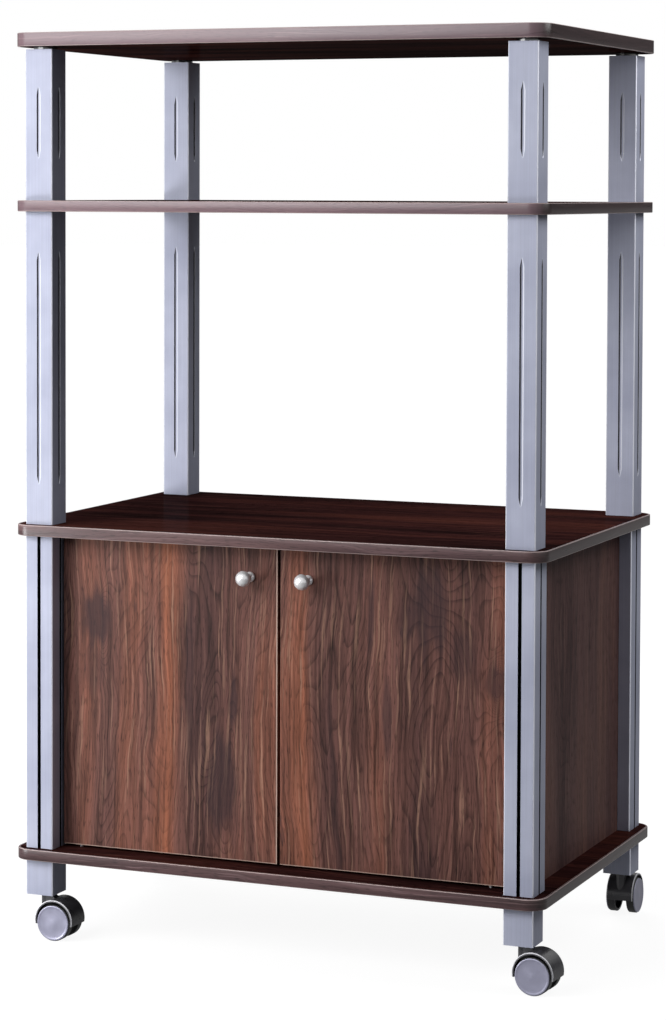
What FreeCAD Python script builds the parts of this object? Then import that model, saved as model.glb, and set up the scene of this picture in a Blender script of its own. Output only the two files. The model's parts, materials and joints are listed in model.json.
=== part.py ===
import FreeCAD, Part
import math
import os
import Sketcher

# A two-door microwave cart: four boards on four columns of square tube and slotted
# profile, a cabinet closed by thin panels that sit in the profile slots, two doors on
# pivot pins, and four twin-wheel casters. Millimetres, +Z up, floor at z = 0, doors
# towards -Y. The origin is under the middle of the whole cart, from the boards' front
# edge to the back of the rear right caster. The heights stack up from the casters.

SIZES = [
    # the lengths of the four lots of column pieces that stack up between the boards
    ("upper_tube_length", 165),
    ("middle_tube_length", 344),
    ("cabinet_height", 347),
    ("foot_tube_length", 40),
    # boards
    ("board_width", 615),
    ("board_depth", 400),
    ("top_board_thickness", 15),
    ("shelf_thickness", 12),
    ("board_corner_radius", 20),
    ("board_edge_rounding", 0.8),
    # columns
    ("column_inset_x", 12),
    ("column_inset_y", 10),
    ("tube_size", 33),
    ("tube_wall", 2.5),
    ("tube_corner_radius", 1.6),
    ("upper_groove_length", 80),
    ("upper_groove_rise", 2.5),
    ("middle_groove_length", 257),
    ("groove_tip", 10),
    ("groove_depth", 1.8),
    ("groove_roundness", 2.6),
    ("profile_depth", 38),
    ("profile_wall", 2),
    # plugs, studs and nuts inside the columns
    ("collar_radius", 12.7),
    ("collar_height", 3),
    ("plug_height", 14),
    ("plug_clearance", 0.05),
    ("foot_plug_gap", 2),
    ("stud_radius", 3),
    ("stud_length", 36),
    ("stud_hole_clearance", 0.25),
    ("nut_radius", 5.5),
    ("nut_height", 11),
    # panels and doors
    ("panel_thickness", 3.5),
    ("panel_bite", 6),
    ("panel_clearance", 0.25),
    ("panel_end_gap", 1),
    ("door_thickness", 12),
    ("door_setback", 21),
    ("door_gap", 3),
    ("door_edge_rounding", 0.8),
    ("pivot_inset", 19.5),
    ("pivot_pin_radius", 1.8),
    ("pivot_pin_bite", 8),
    ("pivot_pin_end_gap", 1),
    ("bush_radius", 4),
    ("bush_length", 12),
    ("running_clearance", 0.05),
    ("contact_gap", 0.3),
    # knobs
    ("knob_from_middle", 34),
    ("knob_below_door_top", 32),
    ("knob_foot_radius", 5.5),
    ("knob_foot_height", 2),
    ("knob_neck_radius", 3.8),
    ("knob_head_radius", 8.5),
    ("knob_back_bow", 6.5),
    ("knob_projection", 26),
    ("knob_head_length", 13),
    ("knob_front_length", 7.5),
    # screws
    ("screw_radius", 2),
    ("screw_head_radius", 4),
    ("screw_head_height", 2.4),
    ("screw_head_bevel", 1),
    ("knob_screw_bite", 11),
    ("catch_screw_bite", 9),
    # magnetic catch under the cabinet top
    ("catch_width", 48),
    ("catch_depth", 16),
    ("catch_height", 12),
    ("catch_corner_radius", 2),
    ("magnet_width", 15),
    ("magnet_height", 8),
    ("strike_plate_thickness", 1.2),
    ("strike_plate_corner", 1),
    ("strike_plate_drop", 5),
    # casters
    ("wheel_radius", 20),
    ("wheel_gap", 14),
    ("wheel_width", 8.5),
    ("wheel_rim", 3),
    ("wheel_web", 3.5),
    ("wheel_hub_radius", 5),
    ("tread_bevel", 0.6),
    ("cap_shoulder", 0.8),
    ("cap_height", 0.6),
    ("cap_bevel", 0.5),
    ("hood_clearance", 1.1),
    ("hood_wall", 2.2),
    ("hood_rise", 1.9),
    ("hood_headroom", 4.8),
    ("hood_edge_rounding", 1.3),
    ("hood_drop", 2.5),
    ("web_thickness", 3),
    ("axle_boss_radius", 4),
    ("caster_trail", 17),
    ("caster_boss_radius", 5),
    ("caster_collar_height", 1.5),
    ("stem_radius", 3),
    ("stem_bite", 20),
    ("axle_radius", 2),
]
# Where each caster trails at rest, in degrees from +X.
CASTER_TURNS = {
    "front_left": -1,
    "front_right": -4,
    "rear_left": 180,
    "rear_right": 90,
}
CORNERS = {
    "front_left": (-1, -1),
    "front_right": (1, -1),
    "rear_left": (-1, 1),
    "rear_right": (1, 1),
}
SIDES = {"left": -1, "right": 1}
# Which way each of a caster's wheels faces, in degrees about the swivel axis.
WHEEL_FACINGS = {"a": 0, "b": 180}
# The slack within which an edge counts as straight, level or of a given radius.
STRAIGHT = 1e-6

# Places and lengths worked out from the sizes; each is an expression of the sheet.
HALF_TUBE = "(Sizes.tube_size / 2)"
COLUMN_X = "(Sizes.board_width / 2 - Sizes.column_inset_x - Sizes.tube_size / 2)"
COLUMN_Y = "(Sizes.board_depth / 2 - Sizes.column_inset_y - Sizes.tube_size / 2)"
PROFILE_Y = "(Sizes.board_depth / 2 - Sizes.column_inset_y - Sizes.profile_depth / 2)"
SLOT_WIDTH = "(Sizes.panel_thickness + 2 * Sizes.panel_clearance)"
SLOT_DEPTH = "(Sizes.panel_bite + Sizes.panel_end_gap)"
HOOD_INSIDE = "(Sizes.wheel_radius + Sizes.hood_clearance)"
HOOD_OUTSIDE = f"({HOOD_INSIDE} + Sizes.hood_wall)"
HOOD_WIDTH = "(Sizes.wheel_gap + 2 * Sizes.wheel_width)"
HOOD_Z = "(Sizes.wheel_radius + Sizes.hood_rise)"
FOOT = f"({HOOD_Z} + {HOOD_OUTSIDE} + Sizes.hood_headroom)"
BOTTOM_UNDERSIDE = f"({FOOT} + Sizes.foot_tube_length)"
BOTTOM_TOP = f"({BOTTOM_UNDERSIDE} + Sizes.shelf_thickness)"
CABINET_UNDERSIDE = f"({BOTTOM_TOP} + Sizes.cabinet_height)"
CABINET_TOP = f"({CABINET_UNDERSIDE} + Sizes.shelf_thickness)"
SHELF_UNDERSIDE = f"({CABINET_TOP} + Sizes.middle_tube_length)"
SHELF_TOP = f"({SHELF_UNDERSIDE} + Sizes.shelf_thickness)"
UPPER_END = f"({SHELF_TOP} + Sizes.upper_tube_length)"
TOP_UNDERSIDE = f"({UPPER_END} + Sizes.collar_height)"
REAR_OVERHANG = (
    f"({COLUMN_Y} + Sizes.caster_trail + {HOOD_OUTSIDE} - Sizes.board_depth / 2)"
)
PLUG_SIZE = "(Sizes.tube_size - 2 * Sizes.tube_wall - 2 * Sizes.plug_clearance)"
FOOT_PLUG_HEIGHT = (
    "(Sizes.foot_tube_length - Sizes.plug_height - Sizes.foot_plug_gap)"
)
STUD_BITE = "((Sizes.stud_length - Sizes.shelf_thickness) / 2)"
STUD_HOLE = "(Sizes.stud_radius + Sizes.stud_hole_clearance)"
DOOR_FACE_Y = "(Sizes.column_inset_y + Sizes.door_setback - Sizes.board_depth / 2)"
PIVOT_Y = f"({DOOR_FACE_Y} + Sizes.door_thickness / 2)"
DOOR_EDGE_X = f"({COLUMN_X} - {HALF_TUBE} - Sizes.door_gap)"
PIVOT_X = f"({DOOR_EDGE_X} - Sizes.pivot_inset)"
DOOR_WIDTH = f"({DOOR_EDGE_X} - Sizes.door_gap / 2)"
DOOR_HEIGHT = "(Sizes.cabinet_height - 2 * Sizes.door_gap)"
DOOR_BOTTOM = f"({BOTTOM_TOP} + Sizes.door_gap)"
KNOB_Z = f"({DOOR_BOTTOM} + {DOOR_HEIGHT} - Sizes.knob_below_door_top)"
CLOSED_BACK_Y = f"({DOOR_FACE_Y} + Sizes.door_thickness)"
CATCH_FACE_Y = f"({CLOSED_BACK_Y} + Sizes.strike_plate_thickness + Sizes.contact_gap)"
MAGNET_X = "(Sizes.catch_width / 4)"
CATCH_Z = f"({CABINET_UNDERSIDE} - Sizes.catch_height / 2)"
CATCH_Y = f"({CATCH_FACE_Y} + Sizes.catch_depth / 2)"
STRIKE_Z = f"({DOOR_BOTTOM} + {DOOR_HEIGHT} - Sizes.strike_plate_drop)"
BOSS_TOP = f"({FOOT} - Sizes.caster_collar_height - Sizes.contact_gap)"

doc = FreeCAD.newDocument("microwave_cart")
sheet = doc.addObject("Spreadsheet::Sheet", "Sizes")
for row, (alias, size) in enumerate(SIZES, start=1):
    sheet.set(f"A{row}", alias)
    sheet.set(f"B{row}", str(size))
    sheet.setAlias(f"B{row}", alias)
doc.recompute()

nodes = []


def value(expression):
    """The number that an expression of the sheet gives now."""
    return float(sheet.evalExpression(expression.replace("Sizes.", "")))


# ---------------------------------------------------------------- sketching helpers


def new_body(label):
    """An empty body that becomes one sub-part."""
    body = doc.addObject("PartDesign::Body", label)
    body.Label = label
    nodes.append(body)
    return body


def origin_feature(body, role):
    """One of the body's own origin planes or axes."""
    return next(f for f in body.Origin.OriginFeatures if f.Role == role)


def new_sketch(body, name, plane="XY_Plane", across=None, up=None, off=None):
    """A sketch on an origin plane, its origin shifted within and off that plane."""
    sketch = body.newObject("Sketcher::SketchObject", f"{body.Label}_{name}")
    sketch.AttachmentSupport = (origin_feature(body, plane), [""])
    sketch.MapMode = "FlatFace"
    for axis, expression in zip("xyz", (across, up, off)):
        if expression:
            sketch.setExpression(f"AttachmentOffset.Base.{axis}", expression)
    return sketch


def bind(sketch, constraint, name, expression):
    """Adds a size constraint that follows the sheet."""
    index = sketch.addConstraint(constraint)
    sketch.renameConstraint(index, name)
    sketch.setExpression(f"Constraints.{name}", expression)


def place_point(sketch, geometry, point, name, across, up):
    """Holds a point at a distance from the sketch's origin, along both its axes."""
    for kind, axis, expression in (("DistanceX", "x", across), ("DistanceY", "y", up)):
        distance = Sketcher.Constraint(kind, -1, 1, geometry, point, value(expression))
        bind(sketch, distance, f"{name}_{axis}", expression)


def side_of_outline(start, end, radius):
    """A straight side, or a minor arc that bulges outwards when a radius is given."""
    if radius is None:
        return Part.LineSegment(start, end)
    chord = end - start
    sagitta_side = FreeCAD.Vector(-chord.y, chord.x, 0).normalize()
    to_centre = math.sqrt(radius**2 - (chord.Length / 2) ** 2)
    centre = (start + end) * 0.5 + sagitta_side * to_centre
    first = math.atan2(start.y - centre.y, start.x - centre.x)
    last = math.atan2(end.y - centre.y, end.x - centre.x)
    whole = Part.Circle(centre, FreeCAD.Vector(0, 0, 1), radius)
    return Part.ArcOfCircle(whole, first, last)


def outline(sketch, corners):
    """A closed anticlockwise outline through corners given as pairs of expressions.

    A third expression makes the side that leaves the corner an arc of that radius.
    """
    spots = [FreeCAD.Vector(value(x), value(y), 0) for x, y, *_ in corners]
    first = sketch.GeometryCount
    count = len(corners)
    for (*_, bow), start, end in zip(padded(corners), spots, spots[1:] + spots[:1]):
        radius = value(bow) if bow else None
        index = sketch.addGeometry(side_of_outline(start, end, radius), False)
        if bow:
            bind(sketch, Sketcher.Constraint("Radius", index, radius), f"bow{index}", bow)
    for step in range(count):
        line = first + step
        following = first + (step + 1) % count
        sketch.addConstraint(Sketcher.Constraint("Coincident", line, 2, following, 1))
    for step, (across, up, *_) in enumerate(corners):
        place_point(sketch, first + step, 1, f"corner{first + step}", across, up)


def padded(corners):
    """The corners with None where no arc radius is given."""
    return [(x, y, bow[0] if bow else None) for x, y, *bow in corners]


def rectangle(sketch, width, height, across="0", up="0"):
    """A rectangle centred on a point of the sketch."""
    left, right = f"({across}) - ({width}) / 2", f"({across}) + ({width}) / 2"
    low, high = f"({up}) - ({height}) / 2", f"({up}) + ({height}) / 2"
    outline(sketch, [(left, low), (right, low), (right, high), (left, high)])


def circle(sketch, radius, across="0", up="0"):
    """A circle with a bound radius and centre."""
    centre = FreeCAD.Vector(value(across), value(up), 0)
    normal = FreeCAD.Vector(0, 0, 1)
    index = sketch.addGeometry(Part.Circle(centre, normal, value(radius)), False)
    bind(sketch, Sketcher.Constraint("Radius", index, value(radius)), f"radius{index}", radius)
    place_point(sketch, index, 3, f"centre{index}", across, up)


def pad(body, sketch, length, symmetric=False, downwards=False):
    """Grows a sketch into material."""
    feature = body.newObject("PartDesign::Pad", f"{sketch.Name}_pad")
    feature.Profile = sketch
    feature.setExpression("Length", length)
    feature.SideType = "Symmetric" if symmetric else "One side"
    feature.Reversed = downwards
    doc.recompute()
    return feature


def pocket(body, sketch, depth=None, symmetric=False, upwards=False):
    """Cuts a sketch away, right through when no depth is given."""
    feature = body.newObject("PartDesign::Pocket", f"{sketch.Name}_pocket")
    feature.Profile = sketch
    if depth:
        feature.setExpression("Length", depth)
    else:
        feature.Type = "ThroughAll"
    feature.SideType = "Symmetric" if symmetric else "One side"
    feature.Reversed = upwards
    doc.recompute()
    return feature


def edges_where(shape, test):
    """Names of the edges that pass a test."""
    return [f"Edge{i}" for i, edge in enumerate(shape.Edges, start=1) if test(edge)]


def is_upright(edge):
    """True for a straight edge along Z."""
    ends = [vertex.Point for vertex in edge.Vertexes]
    if len(ends) != 2:
        return False
    run = ends[1] - ends[0]
    return abs(run.z) > STRAIGHT and math.hypot(run.x, run.y) < STRAIGHT


def is_level(edge):
    """True for an edge that lies in one level plane."""
    return edge.BoundBox.ZLength < STRAIGHT


def is_round(edge, radius):
    """True for a circular edge of a radius."""
    if edge.Degenerated or not isinstance(edge.Curve, Part.Circle):
        return False
    return abs(edge.Curve.Radius - radius) < STRAIGHT


def rounded(body, base, test, radius):
    """Rounds the edges of a feature that pass a test."""
    feature = body.newObject("PartDesign::Fillet", f"{body.Label}_rounding")
    feature.Base = (base, edges_where(base.Shape, test))
    feature.setExpression("Radius", radius)
    doc.recompute()
    return feature


def revolved(body, sketch, cut=False):
    """Turns a sketch about its own vertical axis, to add or to cut away."""
    kind = "PartDesign::Groove" if cut else "PartDesign::Revolution"
    feature = body.newObject(kind, f"{sketch.Name}_turned")
    feature.Profile = sketch
    feature.ReferenceAxis = (sketch, ["V_Axis"])
    feature.Angle = 360
    doc.recompute()
    return feature


def place(thing, x="0", y="0", z="0", turn=None):
    """Places a sub-part by expressions of the sheet and turns it about Z.

    The y expression counts from the middle of the boards.
    """
    for axis, expression in zip("xyz", (x, f"{y} - {REAR_OVERHANG} / 2", z)):
        thing.setExpression(f"Placement.Base.{axis}", expression)
    if turn is not None:
        upright = FreeCAD.Rotation(FreeCAD.Vector(0, 0, 1), turn)
        thing.Placement = FreeCAD.Placement(FreeCAD.Vector(0, 0, 0), upright)
    doc.recompute()


def grouped(label, template, spots):
    """Linked copies of one small part in a shared node, each at its own place."""
    copies = []
    for number, (x, y, z) in enumerate(spots, start=1):
        copy = doc.addObject("App::Link", f"{label}_{number}")
        copy.LinkedObject = template
        copy.LinkTransform = True
        place(copy, x, y, z)
        copies.append(copy)
    group = doc.addObject("Part::Compound", label)
    group.Links = copies
    group.Label = label
    doc.recompute()
    nodes.append(group)


def signed(sign, expression):
    """An expression, negated on the left or the front."""
    return expression if sign > 0 else f"(-1 * {expression})"


def column_spots(z_levels, x=COLUMN_X, y=COLUMN_Y):
    """The four column axes at each of some heights."""
    return [
        (signed(right, x), signed(rear, y), z)
        for z in z_levels
        for right, rear in CORNERS.values()
    ]


# ---------------------------------------------------------------- boards


def column_holes(body, radius, depth=None):
    """The holes that the studs pass through, one on each column axis, from below."""
    sketch = new_sketch(body, "column_holes")
    for right, rear in CORNERS.values():
        circle(sketch, radius, signed(right, COLUMN_X), signed(rear, COLUMN_Y))
    pocket(body, sketch, depth, upwards=True)


def pivot_holes(body, off, upwards):
    """The two blind holes that hold the door pivot pins."""
    sketch = new_sketch(body, "pivot_holes", off=off)
    for side in SIDES.values():
        circle(sketch, "Sizes.pivot_pin_radius", signed(side, PIVOT_X), PIVOT_Y)
    pocket(body, sketch, "Sizes.pivot_pin_bite", upwards=upwards)


def board(label, thickness, underside, hole_radius, hole_depth=None):
    """A board with rounded corners, softened edges and its stud holes."""
    body = new_body(label)
    sketch = new_sketch(body, "outline")
    rectangle(sketch, "Sizes.board_width", "Sizes.board_depth")
    slab = pad(body, sketch, thickness)
    corners = rounded(body, slab, is_upright, "Sizes.board_corner_radius")
    rounded(body, corners, is_level, "Sizes.board_edge_rounding")
    column_holes(body, hole_radius, hole_depth)
    place(body, z=underside)
    return body


def boards():
    """The four boards, from the top down."""
    board("top_board", "Sizes.top_board_thickness", TOP_UNDERSIDE,
          "Sizes.nut_radius", "Sizes.nut_height")
    board("second_shelf", "Sizes.shelf_thickness", SHELF_UNDERSIDE, STUD_HOLE)
    cabinet_top = board("cabinet_top", "Sizes.shelf_thickness", CABINET_UNDERSIDE, STUD_HOLE)
    pivot_holes(cabinet_top, None, upwards=True)
    pilot_hole = new_sketch(cabinet_top, "catch_screw_hole")
    circle(pilot_hole, "Sizes.screw_radius", up=CATCH_Y)
    pocket(cabinet_top, pilot_hole, "Sizes.catch_screw_bite", upwards=True)
    bottom = board("bottom_board", "Sizes.shelf_thickness", BOTTOM_UNDERSIDE, STUD_HOLE)
    pivot_holes(bottom, "Sizes.shelf_thickness", upwards=False)


# ---------------------------------------------------------------- columns


def pressed_groove(body, middle, length):
    """A groove down the middle of each tube face, tapering to a point at both ends.

    The cutter is a round bar with a cone at either end. Its axis stands a little outside
    the face, so only its inner side bites into the wall, and the cones run out of it.
    """
    depth, belly, tip = "Sizes.groove_depth", "Sizes.groove_roundness", "Sizes.groove_tip"
    straight = f"({length} / 2 - {tip})"
    reach = f"({straight} + {tip} * {belly} / {depth})"
    sketch = new_sketch(body, "groove", "XZ_Plane",
                        across=f"{HALF_TUBE} + {belly} - {depth}", up=middle)
    outline(sketch, [
        ("0", f"-1 * {reach}"),
        (belly, f"-1 * {straight}"),
        (belly, straight),
        ("0", reach),
    ])
    groove = revolved(body, sketch, cut=True)
    body.Tip = groove
    around = body.newObject("PartDesign::PolarPattern", f"{body.Label}_grooves")
    around.Originals = [groove]
    around.Axis = (origin_feature(body, "Z_Axis"), [""])
    around.Angle = 360
    around.Occurrences = 4
    body.Tip = around
    doc.recompute()


def square_tube(label, corner, foot, length, groove=None):
    """A square tube with rounded edges on one of the column axes.

    A groove is given by the height of its middle in the tube and by its length.
    """
    right, rear = CORNERS[corner]
    body = new_body(f"{label}_{corner}")
    sketch = new_sketch(body, "outline")
    rectangle(sketch, "Sizes.tube_size", "Sizes.tube_size")
    block = pad(body, sketch, length)
    rounded(body, block, is_upright, "Sizes.tube_corner_radius")
    inside = new_sketch(body, "inside")
    bore = "(Sizes.tube_size - 2 * Sizes.tube_wall)"
    rectangle(inside, bore, bore)
    pocket(body, inside, upwards=True)
    if groove:
        pressed_groove(body, *groove)
    place(body, signed(right, COLUMN_X), signed(rear, COLUMN_Y), foot)


def slotted_profile(corner):
    """A cabinet column: a hollow profile with a slot down the middle of each face."""
    right, rear = CORNERS[corner]
    body = new_body(f"cabinet_post_{corner}")
    sketch = new_sketch(body, "outline")
    width, depth = "Sizes.tube_size", "Sizes.profile_depth"
    rectangle(sketch, width, depth)
    block = pad(body, sketch, "Sizes.cabinet_height")
    rounded(body, block, is_upright, "Sizes.tube_corner_radius")
    slots = new_sketch(body, "slots")
    slot_middle_x = f"({width} / 2 - {SLOT_DEPTH} / 2)"
    slot_middle_y = f"({depth} / 2 - {SLOT_DEPTH} / 2)"
    for side in (-1, 1):
        rectangle(slots, SLOT_DEPTH, SLOT_WIDTH, across=signed(side, slot_middle_x))
        rectangle(slots, SLOT_WIDTH, SLOT_DEPTH, up=signed(side, slot_middle_y))
    pocket(body, slots, upwards=True)
    chambers = new_sketch(body, "chambers")
    inner = f"({SLOT_WIDTH} / 2 + Sizes.profile_wall)"
    outer_x = f"({width} / 2 - Sizes.profile_wall)"
    outer_y = f"({depth} / 2 - Sizes.profile_wall)"
    for across_side in (-1, 1):
        for up_side in (-1, 1):
            rectangle(chambers, f"{outer_x} - {inner}", f"{outer_y} - {inner}",
                      across=signed(across_side, f"(({outer_x} + {inner}) / 2)"),
                      up=signed(up_side, f"(({outer_y} + {inner}) / 2)"))
    pocket(body, chambers, upwards=True)
    screw_port = new_sketch(body, "screw_port")
    shift = f"({COLUMN_Y} - {PROFILE_Y})"
    circle(screw_port, "Sizes.stud_radius", up=signed(rear, shift))
    pocket(body, screw_port, upwards=True)
    place(body, signed(right, COLUMN_X), signed(rear, PROFILE_Y), BOTTOM_TOP)


def columns():
    """Each column from the top down: two tubes, a slotted profile and a foot tube."""
    upper, middle = "Sizes.upper_tube_length", "Sizes.middle_tube_length"
    upper_groove = (f"{upper} / 2 + Sizes.upper_groove_rise", "Sizes.upper_groove_length")
    middle_groove = (f"{middle} / 2", "Sizes.middle_groove_length")
    for corner in CORNERS:
        square_tube("upper_post", corner, SHELF_TOP, upper, upper_groove)
        square_tube("middle_post", corner, CABINET_TOP, middle, middle_groove)
        slotted_profile(corner)
        square_tube("foot_tube", corner, FOOT, "Sizes.foot_tube_length")


def plug_template(name, height, bore_radius, collar=False):
    """A square plug that fills a tube's end, with a bore, and a round collar on top."""
    block = doc.addObject("Part::Box", f"{name}_block")
    for side in ("Length", "Width"):
        block.setExpression(side, PLUG_SIZE)
    block.setExpression("Height", height)
    for axis in "xy":
        block.setExpression(f"Placement.Base.{axis}", f"-1 * {PLUG_SIZE} / 2")
    solid = block
    if collar:
        disc = doc.addObject("Part::Cylinder", f"{name}_collar")
        disc.setExpression("Radius", "Sizes.collar_radius")
        disc.setExpression("Height", "Sizes.collar_height")
        disc.setExpression("Placement.Base.z", height)
        solid = doc.addObject("Part::Fuse", f"{name}_whole")
        solid.Base, solid.Tool = block, disc
    bore = doc.addObject("Part::Cylinder", f"{name}_bore")
    bore.setExpression("Radius", bore_radius)
    bore.setExpression("Height", f"{height} + Sizes.collar_height")
    plug = doc.addObject("Part::Cut", name)
    plug.Base, plug.Tool = solid, bore
    doc.recompute()
    return plug


def rod_template(name, radius, length):
    """A plain round rod standing on z = 0."""
    rod = doc.addObject("Part::Cylinder", name)
    rod.setExpression("Radius", radius)
    rod.setExpression("Height", length)
    doc.recompute()
    return rod


def stem_template():
    """A caster stem: a pin with a collar that bears on the foot plug."""
    drop = f"({BOSS_TOP} - {FOOT} - Sizes.stem_bite)"
    pin = rod_template("stem_pin", "Sizes.stem_radius", f"Sizes.stem_bite - {drop}")
    pin.setExpression("Placement.Base.z", drop)
    collar = rod_template("stem_collar", "Sizes.caster_boss_radius",
                          "Sizes.caster_collar_height")
    collar.setExpression("Placement.Base.z", "-1 * Sizes.caster_collar_height")
    stem = doc.addObject("Part::Fuse", "stem_template")
    stem.Base, stem.Tool = pin, collar
    doc.recompute()
    return stem


def column_hardware():
    """Plugs in the tube ends, studs through the boards, nuts in the top board."""
    top_plug = plug_template("top_plug_template", "Sizes.plug_height",
                             "Sizes.stud_radius", collar=True)
    top_plug_foot = f"{UPPER_END} - Sizes.plug_height"
    grouped("top_end_plugs", top_plug, column_spots([top_plug_foot]))
    end_plug = plug_template("end_plug_template", "Sizes.plug_height", "Sizes.stud_radius")
    grouped("tube_end_plugs", end_plug, column_spots([
        SHELF_TOP,
        f"{SHELF_UNDERSIDE} - Sizes.plug_height",
        CABINET_TOP,
        f"{BOTTOM_UNDERSIDE} - Sizes.plug_height",
    ]))
    foot_plug = plug_template("foot_plug_template", FOOT_PLUG_HEIGHT,
                              "Sizes.stem_radius")
    grouped("foot_plugs", foot_plug, column_spots([FOOT]))
    stud = rod_template("stud_template", "Sizes.stud_radius", "Sizes.stud_length")
    grouped("threaded_studs", stud, column_spots([
        f"{TOP_UNDERSIDE} + Sizes.nut_height - Sizes.stud_length",
        f"{SHELF_UNDERSIDE} - {STUD_BITE}",
        f"{CABINET_UNDERSIDE} - {STUD_BITE}",
        f"{BOTTOM_UNDERSIDE} - {STUD_BITE}",
    ]))
    sleeve = rod_template("nut_sleeve", "Sizes.nut_radius", "Sizes.nut_height")
    thread = rod_template("nut_thread", "Sizes.stud_radius", "Sizes.nut_height")
    nut = doc.addObject("Part::Cut", "nut_template")
    nut.Base, nut.Tool = sleeve, thread
    doc.recompute()
    grouped("insert_nuts", nut, column_spots([TOP_UNDERSIDE]))
    grouped("caster_stems", stem_template(), column_spots([FOOT]))


# ---------------------------------------------------------------- cabinet


def panel(label, width, depth, x="0", y="0"):
    """A thin upright panel whose edges sit in the profile slots."""
    body = new_body(label)
    sketch = new_sketch(body, "outline")
    rectangle(sketch, width, depth)
    pad(body, sketch, "Sizes.cabinet_height")
    place(body, x, y, BOTTOM_TOP)


def panels():
    """Two side panels and the back panel."""
    bite = "2 * Sizes.panel_bite"
    between_sides = f"2 * ({PROFILE_Y} - Sizes.profile_depth / 2) + {bite}"
    between_rear = f"2 * ({COLUMN_X} - {HALF_TUBE}) + {bite}"
    for side, sign in SIDES.items():
        panel(f"{side}_side_panel", "Sizes.panel_thickness", between_sides,
              x=signed(sign, COLUMN_X))
    panel("back_panel", between_rear, "Sizes.panel_thickness", y=PROFILE_Y)


def door(side, sign):
    """A door leaf with its bush bores and its two screw holes."""
    body = new_body(f"{side}_door")
    middle = signed(sign, f"({DOOR_EDGE_X} + Sizes.door_gap / 2) / 2")
    sketch = new_sketch(body, "outline")
    rectangle(sketch, DOOR_WIDTH, "Sizes.door_thickness", across=middle, up=PIVOT_Y)
    leaf = pad(body, sketch, DOOR_HEIGHT)
    rounded(body, leaf, lambda edge: True, "Sizes.door_edge_rounding")
    for end, level, upwards in (("lower", "0", True), ("upper", DOOR_HEIGHT, False)):
        bores = new_sketch(body, f"{end}_bush_bore", off=level)
        circle(bores, "Sizes.bush_radius", signed(sign, PIVOT_X), PIVOT_Y)
        pocket(body, bores, "Sizes.bush_length", upwards=upwards)
    screw_hole = new_sketch(body, "knob_screw_hole", "XZ_Plane")
    circle(screw_hole, "Sizes.screw_radius", signed(sign, "Sizes.knob_from_middle"),
           f"{DOOR_HEIGHT} - Sizes.knob_below_door_top")
    pocket(body, screw_hole, upwards=True)
    place(body, z=DOOR_BOTTOM)


def knob(side, sign):
    """A ball knob turned in one piece: a flared foot, a slim neck and a domed head."""
    body = new_body(f"{side}_knob")
    sketch = new_sketch(body, "outline")
    foot, neck, head = (
        "Sizes.knob_foot_radius",
        "Sizes.knob_neck_radius",
        "Sizes.knob_head_radius",
    )
    tip = "Sizes.knob_projection"
    head_start = f"({tip} - Sizes.knob_head_length)"
    front = "Sizes.knob_front_length"
    front_bow = f"((pow({head}; 2) + pow({front}; 2)) / (2 * {front}))"
    outline(sketch, [
        ("0", "0"),
        (foot, "0"),
        (foot, "Sizes.knob_foot_height"),
        (neck, "2 * Sizes.knob_foot_height"),
        (neck, head_start, "Sizes.knob_back_bow"),
        (head, f"{tip} - {front}", front_bow),
        ("0", tip),
    ])
    revolved(body, sketch)
    socket = new_sketch(body, "screw_socket", "XZ_Plane")
    circle(socket, "Sizes.screw_radius")
    pocket(body, socket, head_start)
    place(body, signed(sign, "Sizes.knob_from_middle"), DOOR_FACE_Y, KNOB_Z, turn=180)


def knob_screw(side, sign):
    """The screw that holds a knob from inside the door, its head bevelled."""
    body = new_body(f"{side}_knob_screw")
    sketch = new_sketch(body, "outline")
    shank, head = "Sizes.screw_radius", "Sizes.screw_head_radius"
    bevel, back = "Sizes.screw_head_bevel", "(-1 * Sizes.screw_head_height)"
    tip = "(Sizes.door_thickness + Sizes.knob_screw_bite)"
    outline(sketch, [
        ("0", back),
        (f"{head} - {bevel}", back),
        (head, f"{back} + {bevel}"),
        (head, "0"),
        (shank, "0"),
        (shank, tip),
        ("0", tip),
    ])
    revolved(body, sketch)
    place(body, signed(sign, "Sizes.knob_from_middle"), CLOSED_BACK_Y, KNOB_Z, turn=180)


def strike_plate(side, sign):
    """The steel plate on the back of a door that the magnet pulls."""
    body = new_body(f"{side}_strike_plate")
    sketch = new_sketch(body, "outline", "XZ_Plane")
    rectangle(sketch, "Sizes.magnet_width", "Sizes.magnet_height")
    plate = pad(body, sketch, "Sizes.strike_plate_thickness", downwards=True)
    rounded(body, plate, lambda edge: edge.BoundBox.YLength > STRAIGHT,
            "Sizes.strike_plate_corner")
    place(body, signed(sign, MAGNET_X), CLOSED_BACK_Y, STRIKE_Z)


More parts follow.
